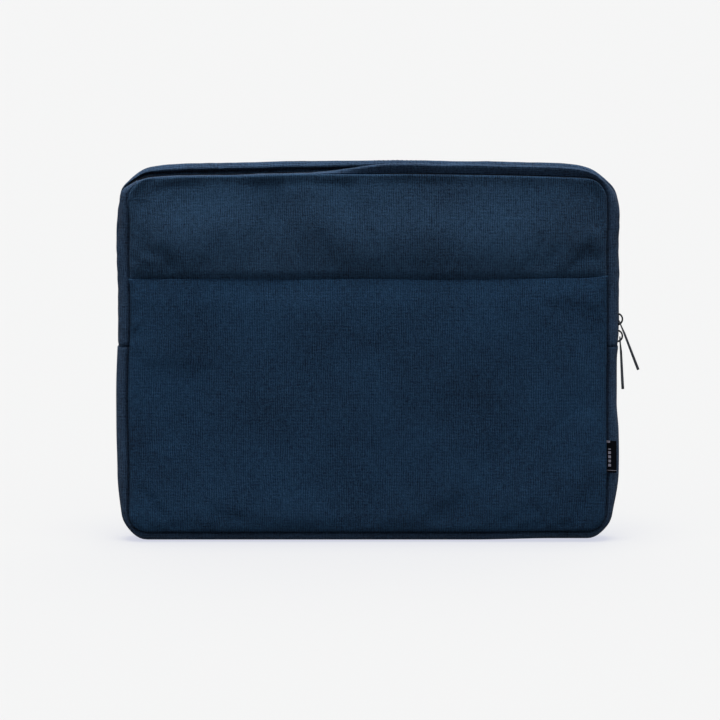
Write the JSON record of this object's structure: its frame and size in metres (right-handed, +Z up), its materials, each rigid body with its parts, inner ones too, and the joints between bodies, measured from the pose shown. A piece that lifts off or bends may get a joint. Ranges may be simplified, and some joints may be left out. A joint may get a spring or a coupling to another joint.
{
  "type": "laptop sleeve",
  "caption": "Upright zip-around padded laptop sleeve with a front slip pocket, zip gusset, paired sliders with long slim pulls, and a mouth that folds forward.",
  "frame": {"origin": "centre of the flat bottom band it stands on, midway across the width and midway between the front and back walls", "axes": "+X across the width, to the right seen from the pocket side; +Y from the pocket side to the back; +Z up"},
  "size_m": [0.3955, 0.0345, 0.2849],
  "materials": {
    "outer_cloth": "navy plain weave with fine vertical ribs, matt",
    "lining_cloth": "smooth dark lining twill",
    "padding": "soft closed-cell padding",
    "seam_tape": "folded grosgrain tape",
    "zip_tape": "woven herringbone tape",
    "zip_coil": "satin nylon coil",
    "zip_metal": "dark gunmetal, satin",
    "pull_metal": "dark gunmetal, satin",
    "label_cloth": "black woven label with a plain pale border pattern"
  },
  "bodies": {
    "sleeve": {"front_shell_lower": "outer_cloth", "front_foam_lower": "padding", "front_lining_lower": "lining_cloth", "seam_binding_front_lower": "seam_tape", "back_shell": "outer_cloth", "back_foam": "padding", "back_lining": "lining_cloth", "seam_binding_back": "seam_tape", "gusset_shell": "outer_cloth", "gusset_foam_left": "padding", "gusset_foam_right": "padding", "gusset_foam_bottom": "padding", "gusset_lining": "lining_cloth", "pocket_panel": "outer_cloth", "pocket_lining": "lining_cloth", "pocket_hem": "outer_cloth", "side_label": "label_cloth", "zip_strip_rear": "outer_cloth", "zip_strip_front_fixed": "outer_cloth", "zip_strip_lining_rear": "lining_cloth", "zip_strip_lining_front_fixed": "lining_cloth", "zip_tape_rear": "zip_tape", "zip_tape_front_fixed": "zip_tape", "zip_coil_rear": "zip_coil", "zip_coil_front_fixed": "zip_coil", "zip_stop_right": "zip_metal", "zip_stop_left": "zip_metal"},
    "front_flap": {"front_shell_flap": "outer_cloth", "front_foam_flap": "padding", "front_lining_flap": "lining_cloth", "seam_binding_front_flap": "seam_tape", "zip_strip_front": "outer_cloth", "zip_strip_lining_front": "lining_cloth", "zip_tape_front": "zip_tape", "zip_coil_front": "zip_coil"},
    "lower_slider": {"slider_lower_body": "zip_metal", "slider_lower_bail": "zip_metal"},
    "lower_pull": {"pull_lower": "pull_metal"},
    "upper_slider": {"slider_upper_body": "zip_metal", "slider_upper_bail": "zip_metal"},
    "upper_pull": {"pull_upper": "pull_metal"}
  },
  "joints": [
    {"name": "mouth_opening", "type": "hinge", "parent": "sleeve", "child": "front_flap", "pos_m": [0, -0.014, 0.213], "axis": [1, 0, 0], "range_deg": [0, 50], "stiffness_Nm_per_rad": 0.03},
    {"name": "lower_slider_travel", "type": "slide", "parent": "sleeve", "child": "lower_slider", "axis": [0, 0, 1], "range_m": [0, 0.018]},
    {"name": "upper_slider_travel", "type": "slide", "parent": "lower_slider", "child": "upper_slider", "axis": [0, 0, 1], "range_m": [0, 0.018]},
    {"name": "lower_pull_swing", "type": "hinge", "parent": "lower_slider", "child": "lower_pull", "pos_m": [0.1881, 0, 0.1552], "axis": [0, -1, 0], "range_deg": [-2.5, 19]},
    {"name": "upper_pull_swing", "type": "hinge", "parent": "upper_slider", "child": "upper_pull", "pos_m": [0.1881, 0, 0.168], "axis": [0, -1, 0], "range_deg": [0, 95]}
  ]
}
